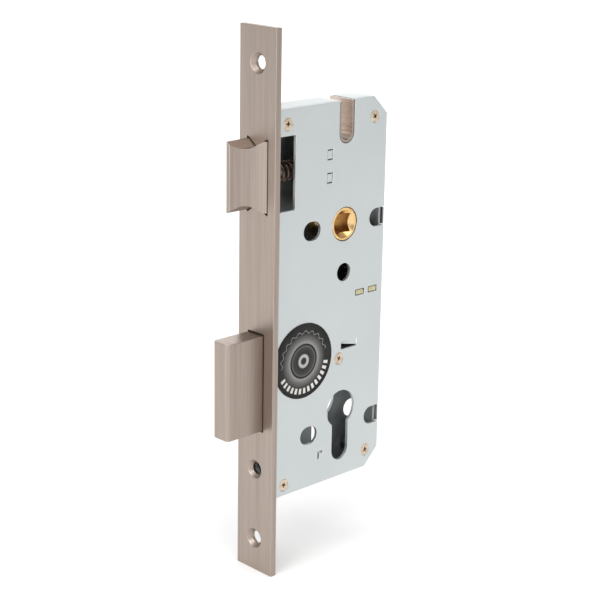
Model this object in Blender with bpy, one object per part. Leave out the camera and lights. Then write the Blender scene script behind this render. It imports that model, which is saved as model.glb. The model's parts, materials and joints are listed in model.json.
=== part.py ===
"""Mortise lock for a euro-profile cylinder, shown with its latch out and its deadbolt thrown.

X runs from the forend's front face into the door, Z is up, and the cover faces -Y. The origin
lies on the forend's front face, level with the follower, on the case's middle plane. Metres.
"""

import math

import bmesh
import bpy
from mathutils import Matrix, Vector

# Overall sizes
BACKSET = 0.045  # forend face to follower axis
CENTRES = 0.085  # follower axis to cylinder axis
CASE_THICKNESS = 0.0145
CASE_ABOVE = 0.054  # case top above the follower
CASE_BELOW = 0.0325  # case bottom below the cylinder axis
CASE_BEHIND = 0.0245  # case rear behind the follower axis
CASE_CHAMFER = 0.008
SHEET = 0.0015
SEAT = 0.0003  # gap between pieces that lie against each other
FLUSH = 0.0002  # ends of tabs, liner and pins below the sheets' outer faces

# Forend
FOREND_WIDTH = 0.022
FOREND_THICKNESS = 0.003
FOREND_ABOVE = 0.034  # past the case at the top
FOREND_BELOW = 0.0345  # past the case at the bottom
FIXING_INSET = 0.015
FIXING_HOLE = 0.0028
FIXING_SINK = 0.0045
CYLINDER_SCREW_DROP = 0.0192  # below the cylinder axis
CYLINDER_SCREW_HOLE = 0.0027
CYLINDER_SCREW_SINK = 0.0043

# Latch
LATCH_TRAVEL = 0.012
LATCH_REACH = 0.0124  # in front of the forend
LATCH_INSIDE = 0.0026  # wide part behind the forend's front face
LATCH_HEIGHT = 0.030
LATCH_WIDTH = 0.0122
LATCH_LEVEL = 0.0264  # centre line above the follower
LATCH_SIDE_GAP = 0.0004
LATCH_END_GAP = 0.0009
LATCH_TIP = 0.0017
LATCH_TIP_SIDE = 0.0012  # tip to the latch's far side
BEVEL_HOLLOW = 0.0009
GROOVE_DEPTH = 0.003
GROOVE_HALF = 0.0049
GROOVE_FLOOR = 0.0009
TOOTH_GAP = 0.0004
STEM_RADIUS = 0.0026
RUNNING_GAP = 0.0003
WINDOW_CLEAR = 0.0005  # drawn latch to the window's rear edge
TAIL_LUG = 0.0045  # length of the latch tail's lug
TAIL_LIP = 0.0025  # tail in front of its lug
TAIL_WALL = 0.0014  # tail above and below the stem
LUG_DEPTH = 0.0022  # lug below the follower arm's nose
TAIL_PIN = 0.0009
LATCH_SPRING_TURNS = 12

# Deadbolt
BOLT_THROW = 0.020
BOLT_HEIGHT = 0.043
BOLT_LEVEL = 0.0214  # centre line above the cylinder axis
BOLT_SIDE_CLEAR = 0.00095  # to each sheet
BOLT_EDGE = 0.0012
BOLT_GAP = 0.0006
BOLT_BEHIND_CLEAR = 0.0045  # drawn bolt to the cylinder
TAIL_THICKNESS = 0.003
TAIL_GRIP = 0.0074  # length let into the head
RIVET_RADIUS = 0.0015
RIVET_SPREAD = 0.19  # of the head's height, above and below its middle
TAIL_RISE = 0.363  # of the head's height, from its middle to the tail's upper edge
TAIL_CLEAR = 0.0005  # drawn tail to the case's rear wall and to its guide
TAIL_CYLINDER_CLEAR = 0.0005
CAM_NOTCH_HALF = 0.0038
CAM_NOTCH_DEPTH = 0.007
CAM_NOTCH_TAPER = 0.0007

# Follower
SPINDLE = 0.008
SPINDLE_PLAY = 0.0001  # on each side
SPINDLE_SINK = 0.0063  # radius of the sink round the square hole
HUB_RADIUS = 0.00725
HUB_HOLE_GAP = 0.00035
HUB_SINK = 0.00035  # hub face below the sheet
BODY_RADIUS = 0.0095
ARM_REACH = 0.01843  # follower axis to the middle of the arm's nose
ARM_NOSE = 0.002
ARM_CLEAR = 0.0002  # resting arm to the latch bracket
TOE_REACH = 0.0123
TOE_NOSE = 0.0023
ARM_HALF_WIDTH = 0.003
ARM_ROOT = 0.004
TOE_ROOT = 0.003
TOE_GAP = 0.0005
PLUNGER_HALF = 0.0022
PLUNGER_FLANGE = 0.0015
PLUNGER_SLOPE = 0.0017  # its top falls this much under the toe
PLUNGER_PIN = 0.008  # from the flange down into the spring

# Tumbler
TUMBLER_LIFT = 0.003
TUMBLER_REACH = 0.019
TUMBLER_TIP = 0.002
TUMBLER_TIP_GAP = 0.0004
TUMBLER_BEHIND = 0.012  # pivot behind the follower axis
TUMBLER_RISE = 0.0081  # pivot above the tip
TUMBLER_HALF = 0.00125
TUMBLER_PIN = 0.0021
TUMBLER_BOSS = 0.0036

# Openings in both sheets
THROUGH_SLOT = 0.00445  # half width of the top through-bolt slot
THROUGH_SLOT_FLOOR = 0.0355
THROUGH_HOLE = 0.00405
THROUGH_HOLE_DROP = 0.0216
LINER = 0.001  # thickness of the strip inside the top slot
ROSE_LENGTH = 0.010
ROSE_HALF = 0.00415
ROSE_AHEAD = 0.0196
REAR_SLOT_HALF = 0.0041
REAR_SLOT_END = 0.0153  # behind the follower axis
REAR_LIP = 0.0008  # thickness of the rear wall where it closes a slot of the cover
LOWER_ROSE_DROP = 0.008
PROFILE_RADIUS = 0.0085
PROFILE_SLOT = 0.005
PROFILE_HEIGHT = 0.033

# Pressed tongue and slit in the cover only
TONGUE_AHEAD = 0.0005  # of the follower axis
TONGUE_RISE = 0.0064  # opening's lower edge above the deadbolt's centre line
TONGUE_LENGTH = 0.0098
TONGUE_OPEN = 0.0034  # height of the opening
TONGUE_LIFT = 0.0021  # opening left below the tongue at its deep end
TONGUE_DEPTH = 0.0021
TONGUE_SHEET = 0.0008
SLIT_AHEAD = 0.0137
SLIT_DROP = 0.0174  # below the cylinder axis
SLIT_RUN = 0.003
SLIT_LEG = 0.0035
SLIT = 0.0009

# Fastenings
SCREW_HEAD = 0.00285
SCREW_SHANK = 0.00145
SCREW_SINK = 0.00005
SCREW_END = 0.001  # past the case's middle plane
PILLAR_RADIUS = 0.0031
SPIGOT_RADIUS = 0.0019
BRACKET = 0.0028
TAB_GAP = 0.00025  # along each tab
TAB_END_GAP = 0.0005
LATCH_TAB_PITCH = 0.0101
LATCH_TAB = 0.0036
LATCH_TABS_RISE = 0.0003  # above the latch's centre line
SHELF = 0.0022
SHELF_DROP = 0.0326
SHELF_TABS = (0.0082, 0.0162)  # front edges behind the follower axis
SHELF_TAB = 0.0046
SHOULDER = 0.0004  # brackets past their tabs
LABEL_RADIUS = 0.017
LABEL_AHEAD = 0.0237  # of the follower axis
LABEL_RISE = 0.0063  # above the deadbolt's centre line
LABEL_THICKNESS = 0.00025
LABEL_GAP = 0.00005

# Springs
SPRING_WIRE = 0.0005
SPRING_SIDE_CLEAR = 0.00125  # outside of the latch spring to each sheet
FOLLOWER_SPRING_RADIUS = 0.0038
FOLLOWER_SPRING_TURNS = 8
TORSION_WIRE = 0.0004
TORSION_RADIUS = 0.0034
TORSION_TURNS = 3
TORSION_PLACE = (0.0009, 0.0034)  # beside the tumbler
TORSION_ARM = 0.011  # length over the tumbler
TORSION_LEG = 0.0065  # fixed leg behind the pivot

# Places worked out from the sizes above
HALF = CASE_THICKNESS / 2
INSIDE = HALF - SHEET
FIT = INSIDE - SEAT  # half length of pieces that stand between the sheets
CASE_FRONT = FOREND_THICKNESS + SEAT
CASE_REAR = BACKSET + CASE_BEHIND
CASE_BOTTOM = -CENTRES - CASE_BELOW
FOREND_TOP = CASE_ABOVE + FOREND_ABOVE
FOREND_BOTTOM = CASE_BOTTOM - FOREND_BELOW
BOLT_CENTRE = -CENTRES + BOLT_LEVEL
BOLT_HALF = INSIDE - BOLT_SIDE_CLEAR
BOLT_REAR = BACKSET - PROFILE_RADIUS - BOLT_THROW - BOLT_BEHIND_CLEAR
LATCH_TOP = LATCH_LEVEL + LATCH_HEIGHT / 2
SWING = 2 * math.asin(LATCH_TRAVEL / (2 * ARM_REACH))
WINDOW_REAR = LATCH_INSIDE + LATCH_TRAVEL + WINDOW_CLEAR
BRACKET_LEVEL = LATCH_LEVEL + LATCH_TABS_RISE
LUG_FRONT = BACKSET - LATCH_TRAVEL / 2 + ARM_NOSE + 0.0004
TONGUE_LEFT = BACKSET - TONGUE_AHEAD
TONGUE_LOW = BOLT_CENTRE + TONGUE_RISE
BRACKET_REAR = BACKSET - LATCH_TRAVEL / 2 - ARM_NOSE - ARM_CLEAR
BRACKET_FRONT = BRACKET_REAR - BRACKET
PLUNGER_X = BACKSET + 0.0125
SHELF_TOP = -SHELF_DROP + SHELF / 2
FAR = 0.05  # past every face, for cutters
PAST = 0.001  # a little past one face, for cutters

SCREW_PLACES = (
    (CASE_FRONT + 0.0073, CASE_ABOVE - 0.0063),
    (CASE_REAR - 0.0074, CASE_ABOVE - 0.0088),
    (BACKSET - 0.0016, BOLT_CENTRE + 0.0025),
    (CASE_REAR - 0.0078, CASE_BOTTOM + 0.0082),
    (CASE_FRONT + 0.0075, CASE_BOTTOM + 0.005),
)


def empty_scene():
    for thing in list(bpy.data.objects):
        bpy.data.objects.remove(thing)


def metal(name, colour, roughness, metallic=1.0):
    made = bpy.data.materials.get(name)
    if made:
        return made
    made = bpy.data.materials.new(name)
    made.use_nodes = True
    shader = made.node_tree.nodes["Principled BSDF"]
    shader.inputs["Base Color"].default_value = (*colour, 1)
    shader.inputs["Roughness"].default_value = roughness
    shader.inputs["Metallic"].default_value = metallic
    made.diffuse_color = (*colour, 1)
    return made


def nickel():
    return metal("satin_nickel", (0.52, 0.46, 0.41), 0.38)


def zinc():
    return metal("zinc_plate", (0.66, 0.70, 0.71), 0.42)


def plain_steel():
    return metal("plain_steel", (0.42, 0.42, 0.43), 0.45)


def brass():
    return metal("cast_brass", (0.72, 0.52, 0.22), 0.4)


def gold_zinc():
    return metal("yellow_zinc", (0.80, 0.68, 0.44), 0.35)


def spring_steel():
    return metal("spring_steel", (0.36, 0.31, 0.27), 0.35)


# Outlines are lists of points in one plane, without a repeated last point


def arc(centre, radius, start, end, steps):
    """Points from start to end degrees, both included."""
    turned = (math.radians(start + (end - start) * i / steps) for i in range(steps + 1))
    return [(centre[0] + radius * math.cos(a), centre[1] + radius * math.sin(a)) for a in turned]


def circle(centre, radius, steps=32):
    return arc(centre, radius, 0, 360, steps)[:-1]


def box(low, high):
    return [(low[0], low[1]), (high[0], low[1]), (high[0], high[1]), (low[0], high[1])]


def link(first, first_radius, second, second_radius, steps=10):
    """Two circles and the straight lines that touch both."""
    reach = Vector(second) - Vector(first)
    aim = math.degrees(math.atan2(reach.y, reach.x))
    lean = math.degrees(math.acos((first_radius - second_radius) / reach.length))
    tip = arc(second, second_radius, aim - lean, aim + lean, steps)
    return tip + arc(first, first_radius, aim + lean, aim + 360 - lean, steps)


def bowed(start, end, sag, steps):
    """Points between two ends on a shallow arc that leans sag to the left, ends left out."""
    start, end = Vector(start), Vector(end)
    left = Vector((start.y - end.y, end.x - start.x)).normalized()
    shares = (i / steps for i in range(1, steps))
    return [tuple(start.lerp(end, s) + left * sag * 4 * s * (1 - s)) for s in shares]


# Meshes are built in a bmesh, and several closed shapes may share one


def add_prism(mesh, outline, low, high, axis="Y"):
    """Adds the outline extruded from low to high along axis; the outline's plane is the other two."""
    place = {
        "X": lambda a, b: (low, a, b),
        "Y": lambda a, b: (a, low, b),
        "Z": lambda a, b: (a, b, low),
    }[axis]
    face = mesh.faces.new([mesh.verts.new(place(a, b)) for a, b in outline])
    swept = bmesh.ops.extrude_face_region(mesh, geom=[face], use_keep_orig=True)
    step = Vector([high - low if name == axis else 0 for name in "XYZ"])
    points = [item for item in swept["geom"] if isinstance(item, bmesh.types.BMVert)]
    bmesh.ops.translate(mesh, verts=points, vec=step)
    return mesh


def add_loft(mesh, first, second):
    """Adds the solid between two outlines of as many points, given in space."""
    rings = [[mesh.verts.new(point) for point in outline] for outline in (first, second)]
    ends = [mesh.faces.new(ring) for ring in rings]
    sides = bmesh.ops.bridge_loops(mesh, edges=[e for face in ends for e in face.edges])["faces"]
    bmesh.ops.triangulate(mesh, faces=sides)
    return mesh


def add_turned(mesh, profile, centre, axis="Y", steps=32):
    """Adds a profile of (place along axis, radius) turned about the axis through centre.

    The profile starts and ends on the axis.
    """
    spots = [mesh.verts.new((radius, 0, place)) for place, radius in profile]
    edges = [mesh.edges.new(pair) for pair in zip(spots, spots[1:])]
    spun = bmesh.ops.spin(
        mesh,
        geom=spots + edges,
        cent=(0, 0, 0),
        axis=(0, 0, 1),
        angle=2 * math.pi,
        steps=steps,
        use_merge=True,
    )
    grown = {v for item in spun["geom_last"] for v in getattr(item, "verts", [item])}
    new = set(spots) | grown
    reached = list(new)
    while reached:
        for edge in reached.pop().link_edges:
            for vert in edge.verts:
                if vert not in new:
                    new.add(vert)
                    reached.append(vert)
    turn = {
        "X": Matrix.Rotation(math.pi / 2, 4, "Y"),
        "Y": Matrix.Rotation(-math.pi / 2, 4, "X"),
        "Z": Matrix.Identity(4),
    }[axis]
    bmesh.ops.transform(mesh, matrix=Matrix.Translation(centre) @ turn, verts=list(new))
    bmesh.ops.remove_doubles(mesh, verts=list(new), dist=1e-6)
    return mesh


def finish(name, mesh, material, origin=(0, 0, 0), smooth=True):
    """Turns the bmesh into an object whose origin lies at the given point."""
    bmesh.ops.recalc_face_normals(mesh, faces=mesh.faces)
    bmesh.ops.translate(mesh, verts=mesh.verts, vec=-Vector(origin))
    data = bpy.data.meshes.new(name)
    mesh.to_mesh(data)
    mesh.free()
    made = bpy.data.objects.new(name, data)
    made.location = origin
    if material:
        data.materials.append(material)
    if smooth:
        data.shade_smooth()
        data.set_sharp_from_angle(angle=math.radians(35))
    bpy.context.collection.objects.link(made)
    return made


def shape(made, mesh, operation):
    """Adds the bmesh to the object, or cuts it out, with a Boolean and a hidden helper."""
    helper = finish(f"{made.name}_{operation.lower()}_{len(made.modifiers)}", mesh, None)
    helper.hide_render = True
    helper.display_type = "WIRE"
    boolean = made.modifiers.new(operation.title(), "BOOLEAN")
    boolean.operation = operation
    boolean.solver = "EXACT"
    boolean.object = helper


def prism(outline, low, high, axis="Y"):
    return add_prism(bmesh.new(), outline, low, high, axis)


def turned(profile, centre, axis="Y", steps=32):
    return add_turned(bmesh.new(), profile, centre, axis, steps)


def tube(name, points, radius, material):
    """A wire along the points."""
    curve = bpy.data.curves.new(name, "CURVE")
    curve.dimensions = "3D"
    curve.bevel_depth = radius
    curve.bevel_resolution = 1
    curve.use_fill_caps = True
    line = curve.splines.new("POLY")
    line.points.add(len(points) - 1)
    for spot, point in zip(line.points, points):
        spot.co = (*point, 1)
    curve.materials.append(material)
    made = bpy.data.objects.new(name, curve)
    bpy.context.collection.objects.link(made)
    return made


def coil(start, end, radius, turns, wire, steps=14):
    """Points of a compression spring between two seats, its last turn at each end nearly closed."""
    start, end = Vector(start), Vector(end)
    along = (end - start).normalized()
    side = along.orthogonal().normalized()
    up = along.cross(side)
    closed = wire * 2 * 1.3
    length = (end - start).length - 2 * wire
    open_pitch = (length - 2 * closed) / (turns - 2)
    points = []
    for i in range(turns * steps + 1):
        turn = i / steps
        middle = min(max(turn - 1, 0), turns - 2)
        ends = min(turn, 1) + max(turn - turns + 1, 0)
        travel = wire + closed * ends + open_pitch * middle
        angle = 2 * math.pi * turn
        points.append(start + along * travel + radius * (side * math.cos(angle) + up * math.sin(angle)))
    return points


# Outlines of the lock


def case_outline(inset=0.0):
    """The case seen from its side, with the two rear corners cut."""
    front, rear = CASE_FRONT + inset, CASE_REAR - inset
    low, high = CASE_BOTTOM + inset, CASE_ABOVE - inset
    cut = CASE_CHAMFER - inset * (2 - math.sqrt(2))
    return [
        (front, low),
        (rear - cut, low),
        (rear, low + cut),
        (rear, high - cut),
        (rear - cut, high),
        (front, high),
    ]


def profile_outline():
    """The euro-profile hole."""
    axis = (BACKSET, -CENTRES)
    side = math.degrees(math.asin(PROFILE_SLOT / PROFILE_RADIUS))
    foot = (BACKSET, -CENTRES + PROFILE_RADIUS - PROFILE_HEIGHT + PROFILE_SLOT)
    return arc(axis, PROFILE_RADIUS, side - 90, 270 - side, 36) + arc(foot, PROFILE_SLOT, 180, 360, 12)


def rear_slot(level, out):
    """From its round end behind the follower to the given place."""
    end = (BACKSET + REAR_SLOT_END + REAR_SLOT_HALF, level)
    low, high = level - REAR_SLOT_HALF, level + REAR_SLOT_HALF
    return arc(end, REAR_SLOT_HALF, 90, 270, 14) + [(out, low), (out, high)]


def rose_hole(level):
    run = ROSE_LENGTH / 2 - ROSE_HALF
    middle = BACKSET - ROSE_AHEAD
    return arc((middle + run, level), ROSE_HALF, -90, 90, 12) + arc(
        (middle - run, level), ROSE_HALF, 90, 270, 12
    )


def through_slot(half_width):
    """Open at the top, with a round floor."""
    centre = (BACKSET, THROUGH_SLOT_FLOOR + THROUGH_SLOT)
    top = CASE_ABOVE + FAR
    return arc(centre, half_width, 180, 360, 16) + [
        (BACKSET + half_width, top),
        (BACKSET - half_width, top),
    ]


def tab_slots(gap=0.0, end_gap=0.0):
    """Outlines of the bracket tabs, wider by gap and longer by end_gap."""
    places = []
    for side in (-1, 1):
        level = BRACKET_LEVEL + side * LATCH_TAB_PITCH / 2
        low = (BRACKET_FRONT - gap, level - LATCH_TAB / 2 - end_gap)
        places.append(box(low, (BRACKET_REAR + gap, level + LATCH_TAB / 2 + end_gap)))
    for behind in SHELF_TABS:
        low = (BACKSET + behind - end_gap, SHELF_TOP - SHELF - gap)
        places.append(box(low, (BACKSET + behind + SHELF_TAB + end_gap, SHELF_TOP + gap)))
    return places


def case_openings(slots_out):
    """Everything that goes through both sheets; the rear slots run to slots_out."""
    lower = -CENTRES - LOWER_ROSE_DROP
    return [
        circle((BACKSET, 0), HUB_RADIUS + HUB_HOLE_GAP, 48),
        circle((BACKSET, -THROUGH_HOLE_DROP), THROUGH_HOLE),
        rose_hole(0),
        rose_hole(lower),
        rear_slot(0, slots_out),
        rear_slot(lower, slots_out),
        profile_outline(),
        through_slot(THROUGH_SLOT),
        box(
            (-FAR, LATCH_LEVEL - LATCH_HEIGHT / 2 - LATCH_END_GAP / 2),
            (WINDOW_REAR, LATCH_TOP + LATCH_END_GAP * 1.4),
        ),
        *tab_slots(TAB_GAP, TAB_END_GAP),
    ]


# Pieces


def make_forend():
    """The face plate, with teeth in the latch opening that run in the latch's grooves."""
    half = FOREND_WIDTH / 2
    plate = prism(box((-half, FOREND_BOTTOM), (half, FOREND_TOP)), 0, FOREND_THICKNESS, "X")
    for level in (CASE_ABOVE + SEAT, CASE_BOTTOM - SEAT):  # its two seats end where the case begins
        everything = plate.verts[:] + plate.edges[:] + plate.faces[:]
        bmesh.ops.bisect_plane(plate, geom=everything, plane_co=(0, 0, level), plane_no=(0, 0, 1))
    made = finish("forend", plate, nickel())
    half_width = LATCH_WIDTH / 2 + LATCH_SIDE_GAP
    half_height = LATCH_HEIGHT / 2 + LATCH_END_GAP
    apex = LATCH_HEIGHT / 2 - GROOVE_DEPTH + TOOTH_GAP
    foot = GROOVE_HALF + TOOTH_GAP * 1.5
    tip = GROOVE_FLOOR - TOOTH_GAP / 2
    up = LATCH_LEVEL
    opening = [
        (half_width, up + half_height),
        (foot, up + half_height),
        (tip, up + apex),
        (-tip, up + apex),
        (-foot, up + half_height),
        (-half_width, up + half_height),
    ]
    opening += [(y, 2 * up - z) for y, z in reversed(opening)]
    cuts = prism(opening, -FAR, FAR, "X")
    low = (-BOLT_HALF - BOLT_GAP / 2, BOLT_CENTRE - BOLT_HEIGHT / 2 - BOLT_GAP)
    high = (BOLT_HALF + BOLT_GAP / 2, BOLT_CENTRE + BOLT_HEIGHT / 2 + BOLT_GAP)
    add_prism(cuts, box(low, high), -FAR, FAR, "X")
    sunk = (
        (FOREND_TOP - FIXING_INSET, FIXING_HOLE, FIXING_SINK),
        (FOREND_BOTTOM + FIXING_INSET, FIXING_HOLE, FIXING_SINK),
        (-CENTRES - CYLINDER_SCREW_DROP, CYLINDER_SCREW_HOLE, CYLINDER_SCREW_SINK),
    )
    for level, hole, sink in sunk:
        profile = [(-PAST, 0), (-PAST, sink + PAST), (sink - hole, hole), (FAR, hole), (FAR, 0)]
        add_turned(cuts, profile, (0, 0, level), "X")
    shape(made, cuts, "DIFFERENCE")


def make_tray():
    """The far sheet with the walls folded from it."""
    made = finish("case_tray", prism(case_outline(), -FIT, HALF), zinc())
    shape(made, prism(case_outline(SHEET), -FAR, INSIDE), "DIFFERENCE")
    cuts = bmesh.new()
    for outline in case_openings(CASE_REAR - SHEET):
        add_prism(cuts, outline, -FAR, FAR)
    for place in (*SCREW_PLACES, tumbler_pivot()):
        add_prism(cuts, circle(place, SPIGOT_RADIUS + RUNNING_GAP, 20), 0, FAR)
    shape(made, cuts, "DIFFERENCE")
    # bolt and cylinder screw pass the front wall
    clear = BOLT_HEIGHT / 2 + BOLT_GAP
    behind_wall = CASE_FRONT + SHEET + PAST
    passage = box((-FAR, BOLT_CENTRE - clear), (behind_wall, BOLT_CENTRE + clear))
    walls = prism(passage, -FAR, BOLT_HALF + BOLT_GAP)
    screw = circle((0, -CENTRES - CYLINDER_SCREW_DROP), CYLINDER_SCREW_HOLE, 20)
    add_prism(walls, screw, -FAR, behind_wall, "X")
    shape(made, walls, "DIFFERENCE")
    # the rear wall reaches into the open ends of the cover's rear slots
    lips = bmesh.new()
    for level in (0, -CENTRES - LOWER_ROSE_DROP):
        low = (CASE_REAR - REAR_LIP, level - REAR_SLOT_HALF + SEAT)
        high = (CASE_REAR, level + REAR_SLOT_HALF - SEAT)
        add_prism(lips, box(low, high), -HALF + FLUSH, -FIT + PAST)
    shape(made, lips, "UNION")


def make_cover():
    """The cover sheet, with sunk screw holes, an angled slit and a tongue pressed in at one end."""
    made = finish("case_cover", prism(case_outline(), -HALF, -INSIDE), zinc())
    cuts = bmesh.new()
    for outline in case_openings(CASE_REAR + FAR):
        add_prism(cuts, outline, -FAR, FAR)
    hole = SCREW_SHANK + RUNNING_GAP
    wide = SCREW_HEAD + RUNNING_GAP / 2
    for x, z in SCREW_PLACES:
        profile = [(-HALF - PAST, 0), (-HALF - PAST, wide + PAST)]
        profile += [(-HALF + wide - hole, hole), (0, hole), (0, 0)]
        add_turned(cuts, profile, (x, 0, z), "Y", 24)
    tongue_right = TONGUE_LEFT + TONGUE_LENGTH
    tongue_high = TONGUE_LOW + TONGUE_OPEN
    add_prism(cuts, box((TONGUE_LEFT, TONGUE_LOW), (tongue_right, tongue_high)), -FAR, 0)
    corner_x, corner_z = BACKSET - SLIT_AHEAD, -CENTRES - SLIT_DROP
    angle = [
        (corner_x, corner_z),
        (corner_x + SLIT_RUN, corner_z),
        (corner_x + SLIT_RUN, corner_z - SLIT),
        (corner_x + SLIT, corner_z - SLIT),
        (corner_x + SLIT, corner_z - SLIT_LEG),
        (corner_x, corner_z - SLIT_LEG),
    ]
    add_prism(cuts, angle, -FAR, 0)
    shape(made, cuts, "DIFFERENCE")

    root = tongue_high + SEAT
    ends = []
    for x, deep, lift in (
        (TONGUE_LEFT + SEAT, TONGUE_DEPTH, TONGUE_LIFT),
        (tongue_right + SEAT, SEAT, SEAT),
    ):
        edge = (-HALF + deep, TONGUE_LOW + lift)
        ends.append([
            (x, -HALF + SEAT, root),
            (x, *edge),
            (x, edge[0] + TONGUE_SHEET, edge[1] + TONGUE_SHEET / 3),
            (x, -HALF + SEAT + TONGUE_SHEET, root),
        ])
    shape(made, add_loft(bmesh.new(), *ends), "UNION")


def make_fastenings():
    """Cover screws in their pillars, the liner and the two brackets."""
    top = -HALF + SCREW_SINK
    neck = SCREW_HEAD - SCREW_SHANK
    length = SCREW_END - top
    screw = [(0, 0), (0, SCREW_HEAD), (neck, SCREW_SHANK), (length, SCREW_SHANK), (length, 0)]
    bore = SCREW_SHANK + RUNNING_GAP
    bore_end = SCREW_END + PAST
    pillar = [(bore_end, 0), (bore_end, bore), (-FIT, bore), (-FIT, PILLAR_RADIUS)]
    pillar += [(FIT, PILLAR_RADIUS), (FIT, SPIGOT_RADIUS), (HALF - FLUSH, SPIGOT_RADIUS), (HALF - FLUSH, 0)]
    for number, (x, z) in enumerate(SCREW_PLACES, 1):
        seat = (x, top, z)
        finish(f"cover_screw_{number}", turned(screw, seat, "Y", 24), gold_zinc(), seat)
        middle = (x, 0, z)
        finish(f"cover_pillar_{number}", turned(pillar, middle, "Y", 24), plain_steel(), middle)

    end = HALF - FLUSH
    centre = (BACKSET, THROUGH_SLOT_FLOOR + THROUGH_SLOT)
    top = CASE_ABOVE - FLUSH
    outer = arc(centre, THROUGH_SLOT - SEAT, 180, 360, 16)
    inner = arc(centre, THROUGH_SLOT - SEAT - LINER, 360, 180, 16)
    right = [(outer[-1][0], top), (inner[0][0], top)]
    left = [(inner[-1][0], top), (outer[0][0], top)]
    finish("through_bolt_liner", prism(outer + right + inner + left, -end, end), nickel())

    slots = tab_slots()
    reach = (LATCH_TAB_PITCH + LATCH_TAB) / 2 + SHOULDER
    outline = box((BRACKET_FRONT, BRACKET_LEVEL - reach), (BRACKET_REAR, BRACKET_LEVEL + reach))
    made = finish("latch_guide_bracket", prism(outline, -FIT, FIT), zinc())
    tabs = bmesh.new()
    for outline in slots[:2]:
        add_prism(tabs, outline, -end, end)
    shape(made, tabs, "UNION")
    hole = circle((0, LATCH_LEVEL), STEM_RADIUS + RUNNING_GAP)
    shape(made, prism(hole, 0, FAR * 2, "X"), "DIFFERENCE")

    front, rear = slots[2][0][0] - SHOULDER, slots[3][1][0] + SHOULDER
    shelf = box((front, SHELF_TOP - SHELF), (rear, SHELF_TOP))
    made = finish("follower_spring_bracket", prism(shelf, -FIT, FIT), gold_zinc())
    tabs = bmesh.new()
    for outline in slots[2:]:
        add_prism(tabs, outline, -end, end)
    shape(made, tabs, "UNION")


def make_latch():
    """The latch with its hollow bevel and grooved ends, its stem, tail and cross pin."""
    side = LATCH_WIDTH / 2
    tip_far = (-LATCH_REACH, side - LATCH_TIP_SIDE)
    tip_near = (-LATCH_REACH, side - LATCH_TIP_SIDE - LATCH_TIP)
    heel = (0, -side)
    plan = [(LATCH_INSIDE, side), (-LATCH_REACH + 0.0016, side), (-LATCH_REACH + 0.0005, side - 0.0005)]
    plan += [tip_far, tip_near, *bowed(tip_near, heel, BEVEL_HOLLOW, 10), heel, (LATCH_INSIDE, -side)]
    low, high = LATCH_LEVEL - LATCH_HEIGHT / 2, LATCH_TOP
    made = finish("latch_bolt", prism(plan, low, high, "Z"), nickel())
    rise = 2 * PAST
    wide = GROOVE_HALF + rise * (GROOVE_HALF - GROOVE_FLOOR) / GROOVE_DEPTH
    floor = high - GROOVE_DEPTH
    groove = [(-wide, high + rise), (-GROOVE_FLOOR, floor), (GROOVE_FLOOR, floor), (wide, high + rise)]
    grooves = prism(groove, -FAR, FAR, "X")
    add_prism(grooves, [(y, 2 * LATCH_LEVEL - z) for y, z in groove], -FAR, FAR, "X")
    shape(made, grooves, "DIFFERENCE")
    stem = circle((0, LATCH_LEVEL), STEM_RADIUS, 24)
    stem_end = LUG_FRONT + TAIL_LUG - PAST
    shape(made, prism(stem, LATCH_INSIDE / 2, stem_end, "X"), "UNION")
    pin = (LUG_FRONT + TAIL_LUG / 4, LATCH_LEVEL)
    pin_hole = circle(pin, TAIL_PIN + RUNNING_GAP, 16)
    shape(made, prism(pin_hole, -FAR, FAR), "DIFFERENCE")

    contact = ARM_REACH * math.cos(SWING / 2)
    lug_rear = LUG_FRONT + TAIL_LUG
    low = LATCH_LEVEL - STEM_RADIUS - TAIL_WALL
    high = LATCH_LEVEL + STEM_RADIUS + TAIL_WALL
    side_view = [
        (LUG_FRONT, contact),
        (LUG_FRONT + TAIL_LUG / 3, contact - LUG_DEPTH),
        (lug_rear, contact - LUG_DEPTH),
        (lug_rear, high),
        (LUG_FRONT - TAIL_LIP, high),
        (LUG_FRONT - TAIL_LIP, low),
        (LUG_FRONT, low),
    ]
    half = ARM_HALF_WIDTH + 0.0008
    made = finish("latch_tail", prism(side_view, -half, half), plain_steel())
    bore = circle((0, LATCH_LEVEL), STEM_RADIUS + RUNNING_GAP)
    shape(made, prism(bore, LUG_FRONT - 0.01, LUG_FRONT + 0.01, "X"), "DIFFERENCE")
    shape(made, prism(pin_hole, -FAR, FAR), "DIFFERENCE")
    half += 0.0004
    finish("latch_tail_pin", prism(circle(pin, TAIL_PIN, 12), -half, half), spring_steel())

    start = (LATCH_INSIDE + SEAT / 2, 0, LATCH_LEVEL)
    end = (BRACKET_FRONT - SEAT / 2, 0, LATCH_LEVEL)
    radius = INSIDE - SPRING_SIDE_CLEAR - SPRING_WIRE
    wound = coil(start, end, radius, LATCH_SPRING_TURNS, SPRING_WIRE)
    tube("latch_spring", wound, SPRING_WIRE, spring_steel())


def follower_tip(reach, angle):
    """A point at this reach from the follower axis, the angle counted from +X towards +Z."""
    return (BACKSET + reach * math.cos(angle), reach * math.sin(angle))


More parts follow.
